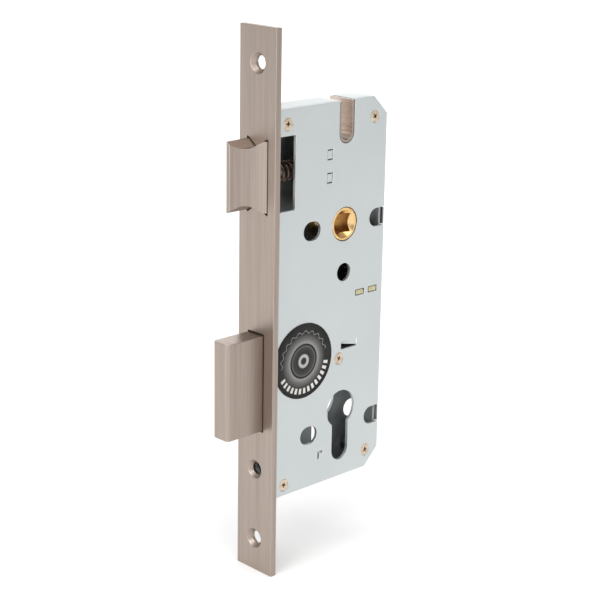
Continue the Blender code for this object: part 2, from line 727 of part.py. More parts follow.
def make_follower():
    """The follower with its arm and toe, the plunger under the toe and the return spring."""
    axis = (BACKSET, 0)
    body = prism(circle(axis, BODY_RADIUS, 48), -FIT, FIT)
    made = finish("follower", body, brass(), (BACKSET, 0, 0))
    face = HALF - HUB_SINK
    shape(made, prism(circle(axis, HUB_RADIUS, 48), -face, face), "UNION")
    arm = link(axis, ARM_ROOT, follower_tip(ARM_REACH, math.pi / 2 + SWING / 2), ARM_NOSE)
    shape(made, prism(arm, -ARM_HALF_WIDTH, ARM_HALF_WIDTH), "UNION")
    toe = link(axis, TOE_ROOT, follower_tip(TOE_REACH, SWING / 2), TOE_NOSE)
    shape(made, prism(toe, -ARM_HALF_WIDTH, ARM_HALF_WIDTH), "UNION")
    half = SPINDLE / 2 + SPINDLE_PLAY
    square = box((BACKSET - half, -half), (BACKSET + half, half))
    shape(made, prism(square, -FAR, FAR), "DIFFERENCE")
    sinks = bmesh.new()
    for side in (-1, 1):
        mouth = [(side * (face + PAST), 0), (side * (face + PAST), SPINDLE_SINK + PAST)]
        add_turned(sinks, [*mouth, (side * (face - SPINDLE_SINK), 0)], (BACKSET, 0, 0), "Y", 48)
    shape(made, sinks, "DIFFERENCE")

    toe_x, toe_z = follower_tip(TOE_REACH, SWING / 2)
    top = toe_z - TOE_NOSE - TOE_GAP
    flange = -BODY_RADIUS - SEAT
    side_view = [
        (PLUNGER_X - PLUNGER_HALF, flange - PLUNGER_FLANGE / 2),
        (PLUNGER_X + PLUNGER_HALF, flange - PLUNGER_FLANGE / 2),
        (PLUNGER_X + PLUNGER_HALF, top),
        (toe_x - 0.0004, top),
        (PLUNGER_X - PLUNGER_HALF, top - PLUNGER_SLOPE),
    ]
    origin = (PLUNGER_X, 0, flange)
    stalk = prism(side_view, -ARM_HALF_WIDTH, ARM_HALF_WIDTH)
    made = finish("follower_plunger", stalk, plain_steel(), origin)
    wide = FOLLOWER_SPRING_RADIUS + SPRING_WIRE
    pin = FOLLOWER_SPRING_RADIUS - SPRING_WIRE - RUNNING_GAP * 2
    profile = [(0, 0), (0, wide), (-PLUNGER_FLANGE, wide), (-PLUNGER_FLANGE, pin)]
    profile += [(-PLUNGER_PIN, pin), (-PLUNGER_PIN, 0)]
    shape(made, turned(profile, origin, "Z", 24), "UNION")
    start = (PLUNGER_X, 0, SHELF_TOP + SEAT)
    end = (PLUNGER_X, 0, flange - PLUNGER_FLANGE - SEAT)
    wound = coil(start, end, FOLLOWER_SPRING_RADIUS, FOLLOWER_SPRING_TURNS, SPRING_WIRE)
    tube("follower_spring", wound, SPRING_WIRE, spring_steel())


def make_deadbolt():
    """The bolt head, its forked tail and the two rivets that hold them together."""
    low, high = BOLT_CENTRE - BOLT_HEIGHT / 2, BOLT_CENTRE + BOLT_HEIGHT / 2
    half, edge = BOLT_HALF, BOLT_EDGE
    plan = [
        (BOLT_REAR, half),
        (-BOLT_THROW + edge, half),
        (-BOLT_THROW, half - edge),
        (-BOLT_THROW, edge - half),
        (-BOLT_THROW + edge, -half),
        (BOLT_REAR, -half),
    ]
    made = finish("deadbolt_head", prism(plan, low, high, "Z"), nickel())
    slot_half = TAIL_THICKNESS / 2 + SEAT
    front = BOLT_REAR - TAIL_GRIP
    slot = box((front - SEAT, low - PAST), (BOLT_REAR + PAST, high + PAST))
    shape(made, prism(slot, -slot_half, slot_half), "DIFFERENCE")
    spread = BOLT_HEIGHT * RIVET_SPREAD
    rivets = [(BOLT_REAR - TAIL_GRIP / 2, BOLT_CENTRE + side * spread) for side in (-1, 1)]
    holes = bmesh.new()
    for place in rivets:
        add_prism(holes, circle(place, RIVET_RADIUS + RUNNING_GAP, 20), -FAR, FAR)
    shape(made, holes.copy(), "DIFFERENCE")
    for number, place in enumerate(rivets, 1):
        plug = prism(circle(place, RIVET_RADIUS, 16), -half + FLUSH / 2, half - FLUSH / 2)
        finish(f"deadbolt_rivet_{number}", plug, plain_steel())

    guide_x, guide_z = SCREW_PLACES[2]
    groove = PILLAR_RADIUS + 0.0004
    rear = CASE_REAR - SHEET - BOLT_THROW - TAIL_CLEAR
    tip_x = tumbler_pivot()[0] - TUMBLER_REACH
    high_edge, low_edge = tail_edges()
    bottom = -CENTRES + PROFILE_RADIUS + TAIL_CYLINDER_CLEAR
    notch_x = BACKSET - BOLT_THROW / 2
    slot_end = arc((guide_x - BOLT_THROW - TAIL_CLEAR, guide_z), groove, 90, 270, 12)
    outline = [
        (front, high_edge),
        (tip_x - BOLT_THROW, high_edge),
        (tip_x, low_edge),
        (rear, low_edge),
        (rear, guide_z + groove),
        *slot_end,
        (rear, guide_z - groove),
        (rear, bottom),
        (notch_x + CAM_NOTCH_HALF, bottom),
        (notch_x + CAM_NOTCH_HALF - CAM_NOTCH_TAPER, bottom + CAM_NOTCH_DEPTH),
        (notch_x - CAM_NOTCH_HALF + CAM_NOTCH_TAPER, bottom + CAM_NOTCH_DEPTH),
        (notch_x - CAM_NOTCH_HALF, bottom),
        (front, bottom),
    ]
    thick = TAIL_THICKNESS / 2
    made = finish("deadbolt_tail", prism(outline, -thick, thick), plain_steel())
    shape(made, holes, "DIFFERENCE")


def tail_edges():
    """Levels of the tail's upper edge at the top and at the foot of the tumbler's ramp."""
    high = BOLT_CENTRE + BOLT_HEIGHT * TAIL_RISE
    return high, high - TUMBLER_LIFT


def tumbler_pivot():
    tip = tail_edges()[1] + TUMBLER_TIP + TUMBLER_TIP_GAP
    return (BACKSET + TUMBLER_BEHIND, tip + TUMBLER_RISE)


def make_tumbler():
    """The lever that rides on the tail's ramp, its pin and its torsion spring."""
    x, z = tumbler_pivot()
    tip = (x - TUMBLER_REACH, tail_edges()[1] + TUMBLER_TIP + TUMBLER_TIP_GAP)
    outline = link((x, z), TUMBLER_BOSS, tip, TUMBLER_TIP, 14)
    made = finish("bolt_tumbler", prism(outline, -TUMBLER_HALF, TUMBLER_HALF), plain_steel(), (x, 0, z))
    hole = circle((x, z), TUMBLER_PIN + RUNNING_GAP, 24)
    shape(made, prism(hole, -FAR, FAR), "DIFFERENCE")
    end = HALF - FLUSH
    profile = [(-FIT, 0), (-FIT, TUMBLER_PIN), (FIT, TUMBLER_PIN), (FIT, SPIGOT_RADIUS)]
    profile += [(end, SPIGOT_RADIUS), (end, 0)]
    finish("tumbler_pivot_pin", turned(profile, (x, 0, z), "Y", 24), plain_steel(), (x, 0, z))

    near, far = (TUMBLER_HALF + place for place in TORSION_PLACE)
    run = Vector((tip[0] - x, tip[1] - z)).normalized()
    over = Vector((run.y, -run.x))
    rest = Vector((x, z)) + run * TORSION_ARM + over * (TUMBLER_TIP + 0.0019)
    points = [(rest.x, -TUMBLER_HALF, rest.y), (rest.x, near - TORSION_WIRE, rest.y)]
    points.append((rest.x + 0.0006, near, rest.y + 0.0002))
    steps = 14 * TORSION_TURNS
    for i in range(steps + 1):
        angle = math.radians(100) - 2 * math.pi * TORSION_TURNS * i / steps
        y = near + (far - near) * i / steps
        points.append((x + TORSION_RADIUS * math.cos(angle), y, z + TORSION_RADIUS * math.sin(angle)))
    points.append((x + TORSION_LEG, far, SHELF_TOP - SHELF - TORSION_WIRE * 2))
    tube("tumbler_spring", points, TORSION_WIRE, spring_steel())


def make_label():
    """A thin round sticker on the cover."""
    centre = (BACKSET - LABEL_AHEAD, BOLT_CENTRE + LABEL_RISE)
    top = -HALF - LABEL_GAP
    disc = prism(circle(centre, LABEL_RADIUS, 64), top - LABEL_THICKNESS, top)
    finish("round_label", disc, metal("label_film", (0.35, 0.36, 0.38), 0.4, 0.0))


empty_scene()
make_forend()
make_tray()
make_cover()
make_fastenings()
make_latch()
make_follower()
make_deadbolt()
make_tumbler()
make_label()
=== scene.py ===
import json
import math

import bmesh
import bpy
from mathutils import Matrix, Vector

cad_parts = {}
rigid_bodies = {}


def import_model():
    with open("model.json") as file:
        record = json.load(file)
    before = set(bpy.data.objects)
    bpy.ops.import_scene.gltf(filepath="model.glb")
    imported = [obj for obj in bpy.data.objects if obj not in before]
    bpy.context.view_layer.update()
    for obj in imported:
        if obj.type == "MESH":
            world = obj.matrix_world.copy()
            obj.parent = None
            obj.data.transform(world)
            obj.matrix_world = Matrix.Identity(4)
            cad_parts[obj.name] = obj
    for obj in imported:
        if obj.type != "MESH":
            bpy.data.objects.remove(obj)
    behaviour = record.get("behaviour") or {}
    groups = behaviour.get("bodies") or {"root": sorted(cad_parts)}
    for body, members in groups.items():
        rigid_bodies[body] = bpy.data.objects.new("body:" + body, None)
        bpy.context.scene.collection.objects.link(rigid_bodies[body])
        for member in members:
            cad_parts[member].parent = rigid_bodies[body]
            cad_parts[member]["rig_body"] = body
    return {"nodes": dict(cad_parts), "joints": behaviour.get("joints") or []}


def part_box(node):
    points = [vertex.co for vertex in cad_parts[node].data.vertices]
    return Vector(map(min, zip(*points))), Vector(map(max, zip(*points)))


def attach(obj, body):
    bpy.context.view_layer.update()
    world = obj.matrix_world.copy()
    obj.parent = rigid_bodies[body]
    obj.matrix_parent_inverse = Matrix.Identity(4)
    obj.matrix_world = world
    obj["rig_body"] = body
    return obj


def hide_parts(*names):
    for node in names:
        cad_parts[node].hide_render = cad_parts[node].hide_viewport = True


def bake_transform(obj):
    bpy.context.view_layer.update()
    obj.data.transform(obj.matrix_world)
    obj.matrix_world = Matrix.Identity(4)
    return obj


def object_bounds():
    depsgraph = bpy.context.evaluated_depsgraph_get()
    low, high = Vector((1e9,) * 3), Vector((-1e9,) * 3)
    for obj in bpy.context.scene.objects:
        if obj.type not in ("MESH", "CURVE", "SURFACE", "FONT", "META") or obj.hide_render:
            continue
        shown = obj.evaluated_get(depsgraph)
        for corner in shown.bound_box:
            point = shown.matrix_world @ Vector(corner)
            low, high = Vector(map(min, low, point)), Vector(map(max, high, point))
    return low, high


# Everything is in metres. X runs into the door, Z is up and the cover faces -Y.
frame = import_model()
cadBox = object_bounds()
cadNodes = frame["nodes"]
mm = 0.001
print("frame loaded,", len(cadNodes), "pieces")


def addNode(tree, kind, sockets=None, **settings):
    node = tree.nodes.new(kind)
    for name, value in settings.items():
        setattr(node, name, value)
    for name, value in (sockets or {}).items():
        if isinstance(value, bpy.types.NodeSocket):
            tree.links.new(value, node.inputs[name])
        else:
            node.inputs[name].default_value = value
    return node


def maths(tree, operation, first, second=0.0):
    return addNode(tree, "ShaderNodeMath", {0: first, 1: second}, operation=operation).outputs[0]


def spread(tree, value, low, high, toLow=0.0, toHigh=1.0):
    sockets = {"Value": value, "From Min": low, "From Max": high, "To Min": toLow, "To Max": toHigh}
    return addNode(tree, "ShaderNodeMapRange", sockets).outputs["Result"]


def mixColour(tree, factor, first, second):
    node = addNode(tree, "ShaderNodeMix", data_type="RGBA")
    given = ((node.inputs[0], factor), (node.inputs[6], first), (node.inputs[7], second))
    for socket, value in given:
        if isinstance(value, bpy.types.NodeSocket):
            tree.links.new(value, socket)
        else:
            socket.default_value = value
    return node.outputs[2]


def vectorMaths(tree, operation, first, second):
    return addNode(tree, "ShaderNodeVectorMath", {0: first, 1: second}, operation=operation)


def onPiece(tree):
    return addNode(tree, "ShaderNodeTexCoord").outputs["Object"]


def noise(tree, where, scale, detail):
    sockets = {"Vector": where, "Scale": scale, "Detail": detail}
    return addNode(tree, "ShaderNodeTexNoise", sockets).outputs[0]


def newGroup(name, inputs, outputs):
    tree = bpy.data.node_groups.new(name, "ShaderNodeTree")
    for label, kind, value in inputs:
        socket = tree.interface.new_socket(label, in_out="INPUT", socket_type="NodeSocket" + kind)
        socket.default_value = value
    for label, kind in outputs:
        tree.interface.new_socket(label, in_out="OUTPUT", socket_type="NodeSocket" + kind)
    entry = tree.nodes.new("NodeGroupInput")
    leave = tree.nodes.new("NodeGroupOutput")
    return tree, entry.outputs, leave.inputs


grainLook = {
    "fineScale": 2.6, "fineDetail": 3.0, "fineShare": 0.6, "wideScale": 0.35, "wideDetail": 2.0,
    "wideShare": 0.4, "range": (0.32, 0.68), "height": 0.00004,
}
cloudLook = {
    "patchDetail": 4.0, "patchRange": (0.34, 0.66), "speckScale": 2600.0, "speckDetail": 2.0,
    "speckRange": (0.4, 0.72), "height": 0.00005,
}
edgeLook = {"flatUpTo": 0.995, "roundFrom": 0.8, "samples": 4}


def makeGrainGroup():
    # long scratches left by a brushing belt; Stretch squeezes the pattern across the scratches
    tree, given, out = newGroup(
        "brushedGrain",
        [("Stretch", "Vector", (900, 900, 14)), ("Depth", "Float", 0.1), ("Seed", "Float", 0.0)],
        [("Lines", "Float"), ("Normal", "Vector")],
    )
    drawn = vectorMaths(tree, "MULTIPLY", onPiece(tree), given["Stretch"])
    shifted = vectorMaths(tree, "ADD", drawn.outputs[0], given["Seed"]).outputs[0]
    fine = noise(tree, shifted, grainLook["fineScale"], grainLook["fineDetail"])
    wide = noise(tree, shifted, grainLook["wideScale"], grainLook["wideDetail"])
    both = maths(tree, "ADD", maths(tree, "MULTIPLY", fine, grainLook["fineShare"]),
                 maths(tree, "MULTIPLY", wide, grainLook["wideShare"]))
    lines = spread(tree, both, *grainLook["range"])
    bump = addNode(tree, "ShaderNodeBump", {"Height": lines, "Strength": given["Depth"]})
    bump.inputs["Distance"].default_value = grainLook["height"]
    tree.links.new(lines, out["Lines"])
    tree.links.new(bump.outputs[0], out["Normal"])
    return tree


def makeCloudGroup():
    # slow patches and a fine orange peel, as plating and passivating leave them
    tree, given, out = newGroup(
        "platingClouds",
        [("Patch Size", "Float", 0.02), ("Peel", "Float", 0.05)],
        [("Clouds", "Float"), ("Specks", "Float"), ("Normal", "Vector")],
    )
    where = onPiece(tree)
    scale = maths(tree, "DIVIDE", 1.0, given["Patch Size"])
    patches = noise(tree, where, scale, cloudLook["patchDetail"])
    grain = noise(tree, where, cloudLook["speckScale"], cloudLook["speckDetail"])
    bump = addNode(tree, "ShaderNodeBump", {"Height": grain, "Strength": given["Peel"]})
    bump.inputs["Distance"].default_value = cloudLook["height"]
    tree.links.new(spread(tree, patches, *cloudLook["patchRange"]), out["Clouds"])
    tree.links.new(spread(tree, grain, *cloudLook["speckRange"]), out["Specks"])
    tree.links.new(bump.outputs[0], out["Normal"])
    return tree


def makeEdgeGroup():
    # where the surface turns within Width: rubbed brighter on corners
    tree, given, out = newGroup("rubbedEdge", [("Width", "Float", 0.0004)], [("Mask", "Float")])
    turned = addNode(tree, "ShaderNodeBevel", {"Radius": given["Width"]}, samples=edgeLook["samples"])
    flat = addNode(tree, "ShaderNodeNewGeometry").outputs["True Normal"]
    same = vectorMaths(tree, "DOT_PRODUCT", turned.outputs[0], flat).outputs["Value"]
    tree.links.new(spread(tree, same, edgeLook["flatUpTo"], edgeLook["roundFrom"]), out["Mask"])
    return tree


groups = {"grain": makeGrainGroup(), "clouds": makeCloudGroup(), "edge": makeEdgeGroup()}


def newMaterial(name):
    made = bpy.data.materials.new(name)
    made.use_nodes = True
    return made, made.node_tree, made.node_tree.nodes["Principled BSDF"]


def useGroup(tree, name, **sockets):
    node = tree.nodes.new("ShaderNodeGroup")
    node.node_tree = groups[name]
    for label, value in sockets.items():
        node.inputs[label.replace("_", " ")].default_value = value
    return node.outputs


def rgb(colour):
    return (*colour, 1.0)


# how far patches, specks and rubbed corners show on a brushed or plated metal
metalLook = {"patches": 0.35, "brushedRub": 0.7, "specks": 0.3}


def brushedMetal(name, look):
    made, tree, shader = newMaterial(name)
    grain = useGroup(tree, "grain", Stretch=look["stretch"], Depth=look["depth"], Seed=look["seed"])
    clouds = useGroup(tree, "clouds", Patch_Size=look["patch"], Peel=0.0)
    edge = useGroup(tree, "edge", Width=look["edgeWidth"])
    brushed = mixColour(tree, grain["Lines"], rgb(look["dark"]), rgb(look["light"]))
    patches = spread(tree, clouds["Clouds"], 0, 1, 0, metalLook["patches"])
    patchy = mixColour(tree, patches, brushed, rgb(look["warm"]))
    corners = spread(tree, edge["Mask"], 0, 1, 0, metalLook["brushedRub"])
    rubbed = mixColour(tree, corners, patchy, rgb(look["rubbed"]))
    tree.links.new(rubbed, shader.inputs["Base Color"])
    low, high = look["roughness"]
    tree.links.new(spread(tree, grain["Lines"], 0, 1, high, low), shader.inputs["Roughness"])
    tree.links.new(grain["Normal"], shader.inputs["Normal"])
    shader.inputs["Metallic"].default_value = 1.0
    made.diffuse_color = rgb(look["light"])
    return made


def platedMetal(name, look):
    made, tree, shader = newMaterial(name)
    clouds = useGroup(tree, "clouds", Patch_Size=look["patch"], Peel=look["peel"])
    edge = useGroup(tree, "edge", Width=look["edgeWidth"])
    patchy = mixColour(tree, clouds["Clouds"], rgb(look["dark"]), rgb(look["light"]))
    specks = spread(tree, clouds["Specks"], 0, 1, 0, metalLook["specks"])
    speckled = mixColour(tree, specks, patchy, rgb(look["specks"]))
    corners = spread(tree, edge["Mask"], 0, 1, 0, look["rub"])
    rubbed = mixColour(tree, corners, speckled, rgb(look["rubbed"]))
    tree.links.new(rubbed, shader.inputs["Base Color"])
    low, high = look["roughness"]
    tree.links.new(spread(tree, clouds["Clouds"], 0, 1, low, high), shader.inputs["Roughness"])
    tree.links.new(clouds["Normal"], shader.inputs["Normal"])
    shader.inputs["Metallic"].default_value = look["metallic"]
    made.diffuse_color = rgb(look["light"])
    return made


def labelFilm(name, look, centre):
    # printed rings round the label's centre, a band of plain bars below and a wave line above
    made, tree, shader = newMaterial(name)
    toMiddle = {"Vector": onPiece(tree), "Location": tuple(-Vector(centre))}
    moved = addNode(tree, "ShaderNodeMapping", toMiddle)
    apart = addNode(tree, "ShaderNodeSeparateXYZ", {"Vector": moved.outputs[0]}).outputs
    flat = addNode(tree, "ShaderNodeCombineXYZ", {"X": apart["X"], "Y": apart["Z"]}).outputs[0]
    away = addNode(tree, "ShaderNodeVectorMath", {0: flat}, operation="LENGTH").outputs["Value"]
    share = maths(tree, "DIVIDE", away, look["radius"])
    ramp = addNode(tree, "ShaderNodeValToRGB", {"Fac": share})
    stops = ramp.color_ramp.elements
    for where, shade in look["rings"]:
        stop = stops[0] if where == 0 else stops.new(where)
        stop.color = rgb([shade * tint for tint in look["ringTint"]])
    stops.remove(stops[-1])
    angle = maths(tree, "ARCTAN2", apart["X"], maths(tree, "MULTIPLY", apart["Z"], -1.0))
    fromMiddle = maths(tree, "ABSOLUTE", maths(tree, "SUBTRACT", angle, look["markTurn"]))
    beat = maths(tree, "SINE", maths(tree, "MULTIPLY", angle, look["marks"]))
    bars = maths(tree, "GREATER_THAN", beat, look["barStart"])
    inner, outer = look["markBand"]
    band = maths(tree, "MULTIPLY", maths(tree, "GREATER_THAN", share, inner),
                 maths(tree, "LESS_THAN", share, outer))
    arc = maths(tree, "LESS_THAN", fromMiddle, look["markArc"])
    marks = maths(tree, "MULTIPLY", maths(tree, "MULTIPLY", band, bars), arc)
    printed = mixColour(tree, marks, ramp.outputs[0], rgb(look["markColour"]))
    ripple = maths(tree, "SINE", maths(tree, "MULTIPLY", angle, look["waves"]))
    swing = maths(tree, "MULTIPLY", ripple, look["waveHeight"])
    off = maths(tree, "SUBTRACT", maths(tree, "SUBTRACT", share, look["waveBand"]), swing)
    wave = maths(tree, "LESS_THAN", maths(tree, "ABSOLUTE", off), look["waveWidth"])
    above = maths(tree, "GREATER_THAN", fromMiddle, look["markArc"] + look["waveGap"])
    line = maths(tree, "MULTIPLY", wave, above)
    printed = mixColour(tree, line, printed, rgb(look["waveColour"]))
    clouds = useGroup(tree, "clouds", Patch_Size=look["patch"], Peel=look["peel"])
    haze = spread(tree, clouds["Clouds"], 0, 1, 0, look["hazeShare"])
    hazed = mixColour(tree, haze, printed, rgb(look["haze"]))
    tree.links.new(hazed, shader.inputs["Base Color"])
    roughness = spread(tree, clouds["Specks"], 0, 1, *look["roughness"])
    tree.links.new(roughness, shader.inputs["Roughness"])
    tree.links.new(clouds["Normal"], shader.inputs["Normal"])
    shader.inputs["Specular IOR Level"].default_value = look["specular"]
    shader.inputs["Coat Weight"].default_value = look["coat"]
    shader.inputs["Coat Roughness"].default_value = look["coatRoughness"]
    return made


finishes = {
    "satinNickel": {
        "stretch": (950, 950, 9), "depth": 0.35, "seed": 3.0, "patch": 0.045, "edgeWidth": 0.0005,
        "dark": (0.33, 0.272, 0.235), "light": (0.432, 0.365, 0.322), "warm": (0.385, 0.316, 0.271),
        "rubbed": (0.50, 0.43, 0.385), "roughness": (0.34, 0.46),
    },
    "brightNickel": {
        "stretch": (60, 60, 900), "depth": 0.04, "seed": 8.0, "patch": 0.006, "edgeWidth": 0.0003,
        "dark": (0.59, 0.505, 0.45), "light": (0.70, 0.62, 0.56), "warm": (0.60, 0.50, 0.435),
        "rubbed": (0.60, 0.50, 0.44), "roughness": (0.24, 0.32),
    },
    "zincPlate": {
        "patch": 0.05, "peel": 0.12, "edgeWidth": 0.0004, "dark": (0.56, 0.592, 0.597),
        "light": (0.625, 0.657, 0.66), "specks": (0.535, 0.565, 0.57), "rubbed": (0.86, 0.88, 0.88),
        "rub": 0.9, "roughness": (0.38, 0.48), "metallic": 0.9,
    },
    # darker zinc on the case's inner faces: painted shade, with some grease
    "shadeAndGreaseZinc": {
        "patch": 0.008, "peel": 0.2, "edgeWidth": 0.0003, "dark": (0.25, 0.272, 0.276),
        "light": (0.46, 0.49, 0.495), "specks": (0.18, 0.19, 0.19), "rubbed": (0.5, 0.52, 0.52),
        "rub": 0.3, "roughness": (0.42, 0.6), "metallic": 0.6,
    },
    "plainSteel": {
        "patch": 0.006, "peel": 0.25, "edgeWidth": 0.0003, "dark": (0.17, 0.17, 0.175),
        "light": (0.27, 0.27, 0.27), "specks": (0.10, 0.095, 0.09), "rubbed": (0.45, 0.45, 0.45),
        "rub": 0.7, "roughness": (0.35, 0.5), "metallic": 1.0,
    },
    "castBrass": {
        "patch": 0.004, "peel": 0.3, "edgeWidth": 0.0004, "dark": (0.70, 0.43, 0.16),
        "light": (0.93, 0.68, 0.35), "specks": (0.55, 0.30, 0.09), "rubbed": (0.98, 0.84, 0.58),
        "rub": 0.8, "roughness": (0.20, 0.34), "metallic": 1.0,
    },
    # dark brass for the screw recesses and the hub's square hole: painted shade in recesses
    "recessShadeBrass": {
        "patch": 0.003, "peel": 0.35, "edgeWidth": 0.0003, "dark": (0.30, 0.13, 0.03),
        "light": (0.50, 0.26, 0.08), "specks": (0.20, 0.08, 0.02), "rubbed": (0.80, 0.55, 0.25),
        "rub": 0.5, "roughness": (0.28, 0.42), "metallic": 1.0,
    },
    "yellowZinc": {
        "patch": 0.0018, "peel": 0.15, "edgeWidth": 0.0003, "dark": (0.46, 0.37, 0.26),
        "light": (0.74, 0.64, 0.53), "specks": (0.42, 0.31, 0.21), "rubbed": (0.84, 0.77, 0.68),
        "rub": 0.8, "roughness": (0.24, 0.36), "metallic": 1.0,
    },
    "oliveBrass": {
        "patch": 0.0012, "peel": 0.15, "edgeWidth": 0.0004, "dark": (0.42, 0.38, 0.19),
        "light": (0.70, 0.66, 0.46), "specks": (0.34, 0.28, 0.12), "rubbed": (0.45, 0.38, 0.17),
        "rub": 0.9, "roughness": (0.28, 0.4), "metallic": 1.0,
    },
    "springSteel": {
        "patch": 0.003, "peel": 0.2, "edgeWidth": 0.0002, "dark": (0.09, 0.062, 0.045),
        "light": (0.21, 0.155, 0.12), "specks": (0.05, 0.035, 0.028), "rubbed": (0.32, 0.25, 0.20),
        "rub": 0.4, "roughness": (0.30, 0.44), "metallic": 1.0,
    },
}

finish = {}
for finishName, finishLook in finishes.items():
    makeFinish = brushedMetal if "stretch" in finishLook else platedMetal
    finish[finishName] = makeFinish(finishName, finishLook)
print("finishes made,", len(finish))


def wantsRounding(edge, turn=28):
    return len(edge.link_faces) == 2 and edge.calc_face_angle() > math.radians(turn)


def sharpEdges(mesh):
    return [edge for edge in mesh.edges if wantsRounding(edge)]


def roundEdges(mesh, chosen, width, segments):
    bmesh.ops.bevel(mesh, geom=chosen, offset=width, offset_type="OFFSET", affect="EDGES",
                    segments=segments, profile=0.5, material=-1, clamp_overlap=False)


def makePiece(name, mesh, finishNames, smoothAngle=32):
    data = bpy.data.meshes.new(name)
    mesh.to_mesh(data)
    mesh.free()
    for finishName in finishNames:
        data.materials.append(finish[finishName])
    data.shade_smooth()
    data.set_sharp_from_angle(angle=math.radians(smoothAngle))
    made = bpy.data.objects.new(name, data)
    bpy.context.scene.collection.objects.link(made)
    return made


def evenNormals(made, weight=80):
    # flats keep one normal up to their rounded edges
    even = made.modifiers.new("evenNormals", "WEIGHTED_NORMAL")
    even.keep_sharp = True
    even.weight = weight


def place(made, nodeName):
    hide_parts(nodeName)
    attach(made, cadNodes[nodeName]["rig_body"])


copyLook = {"weld": 0.002 * mm, "flat": math.radians(0.4)}


def weldedCopy(nodeName):
    mesh = bmesh.new()
    mesh.from_mesh(cadNodes[nodeName].data)
    bmesh.ops.remove_doubles(mesh, verts=mesh.verts, dist=copyLook["weld"])
    return mesh


def cadCopy(nodeName):
    # welded, with the triangles of each flat joined into one face
    mesh = weldedCopy(nodeName)
    bmesh.ops.dissolve_limit(mesh, angle_limit=copyLook["flat"], verts=mesh.verts, edges=mesh.edges)
    return mesh


def softened(nodeName, finishName, width, segments):
    mesh = cadCopy(nodeName)
    roundEdges(mesh, sharpEdges(mesh), width, segments)
    made = makePiece(nodeName + "_finished", mesh, [finishName])
    evenNormals(made)
    place(made, nodeName)


caseLow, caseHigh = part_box("case_tray")
caseMiddle = (caseLow + caseHigh) / 2
sheetLook = {
    "sheet": 1.5 * mm, "fold": 1.1 * mm, "foldSteps": 5, "punched": 0.22 * mm, "shortestFold": 6 * mm,
    "punchedSteps": 2, "rearSlots": (0.0, -0.093), "slotReach": 4.5 * mm, "slotDepth": 8 * mm,
    "smallestWall": 20 * mm * mm, "largestLip": 60 * mm * mm, "close": 0.02 * mm,
    "facing": 0.9, "sideways": 0.1, "coverInside": 0.5, "viewedFrom": -0.05,
}


def trayFinish(face):
    # 0 outside, 1 inside, darker zinc as painted shade with some grease, 2 dark plain steel on the
    # lips behind the cover's rear slots as painted shade in the slots
    middle = face.calc_center_median()
    fromRear = caseHigh.x - middle.x
    behindCover = middle.y < 0 and sheetLook["close"] < fromRear < sheetLook["slotDepth"]
    nearSlot = any(abs(middle.z - level) < sheetLook["slotReach"] for level in sheetLook["rearSlots"])
    # the lips behind the rear slots get dark plain steel, painted shade in the slots
    if nearSlot and behindCover and face.calc_area() < sheetLook["largestLip"]:
        return 2
    sheetInside = caseHigh.y - sheetLook["sheet"]
    if abs(middle.y - sheetInside) < sheetLook["close"] and face.normal.y < -sheetLook["facing"]:
        return 1
    eye = Vector((caseMiddle.x, sheetLook["viewedFrom"], caseMiddle.z))
    inwards = face.normal.dot(middle - eye) < 0
    upright = abs(face.normal.y) < sheetLook["sideways"]
    isWall = upright and face.calc_area() > sheetLook["smallestWall"]
    return 1 if isWall and inwards and middle.y > caseLow.y else 0


def isFold(edge):
    # outer edges between the far sheet and the tray's walls
    ends = [v.co.y for v in edge.verts]
    atSheet = all(y > 0 and abs(y - caseHigh.y) < sheetLook["close"] for y in ends)
    walls = [f.normal for f in edge.link_faces if abs(f.normal.y) < sheetLook["sideways"]]
    if not (atSheet and walls and edge.calc_length() > sheetLook["shortestFold"]):
        return False
    middle = (edge.verts[0].co + edge.verts[1].co) / 2
    return walls[0].dot(middle - caseMiddle) > 0 and abs(ends[0] - ends[1]) < sheetLook["close"]


def makeTray():
    mesh = cadCopy("case_tray")
    for face in mesh.faces:
        face.material_index = trayFinish(face)
    folds = [edge for edge in sharpEdges(mesh) if isFold(edge)]
    roundEdges(mesh, folds, sheetLook["fold"], sheetLook["foldSteps"])
    roundEdges(mesh, sharpEdges(mesh), sheetLook["punched"], sheetLook["punchedSteps"])
    made = makePiece("caseTray", mesh, ["zincPlate", "shadeAndGreaseZinc", "plainSteel"])
    evenNormals(made)
    place(made, "case_tray")


def makeCover():
    mesh = cadCopy("case_cover")
    for face in mesh.faces:
        # inner faces get the darker zinc, painted shade with some grease
        face.material_index = 1 if face.normal.y > sheetLook["coverInside"] else 0
    roundEdges(mesh, sharpEdges(mesh), sheetLook["punched"], sheetLook["punchedSteps"])
    made = makePiece("caseCover", mesh, ["zincPlate", "shadeAndGreaseZinc"])
    evenNormals(made)
    place(made, "case_cover")


makeTray()
makeCover()
print("case sheets made")


screwLook = {
    # the crown's outline: how far out, as a share of the head, and how high, as a share of the crown
    "crownShape": ((0, 1), (0.5, 0.75), (0.93, 0)),
    "head": 2.85 * mm, "crown": 0.12 * mm, "shank": 1.45 * mm, "core": 1.15 * mm, "pitch": 0.5 * mm,
    "edge": 0.12 * mm, "lead": 0.3 * mm, "recess": 1.7 * mm, "wing": 0.5 * mm, "recessDepth": 1.3 * mm,
    "recessBottom": 0.3, "nearRecess": 0.05 * mm, "belowHead": 0.2 * mm, "steep": 0.8,
    "sides": 48, "weld": 0.001 * mm, "smooth": 25, "turns": (8, 62, 33, 71, 20),
}


def crossCutter():
    mesh = bmesh.new()
    depth = screwLook["recessDepth"]
    long, short = screwLook["recess"], screwLook["wing"]
    for wide, deep in ((long, short), (short, long)):
        wing = bmesh.ops.create_cube(mesh, size=2)["verts"]
        bmesh.ops.scale(mesh, vec=(wide, depth, deep), verts=wing)
        for vert in wing:
            if vert.co.y > 0:  # narrower towards the bottom, as the driver's point is
                vert.co.x *= screwLook["recessBottom"]
                vert.co.z *= screwLook["recessBottom"]
    return mesh


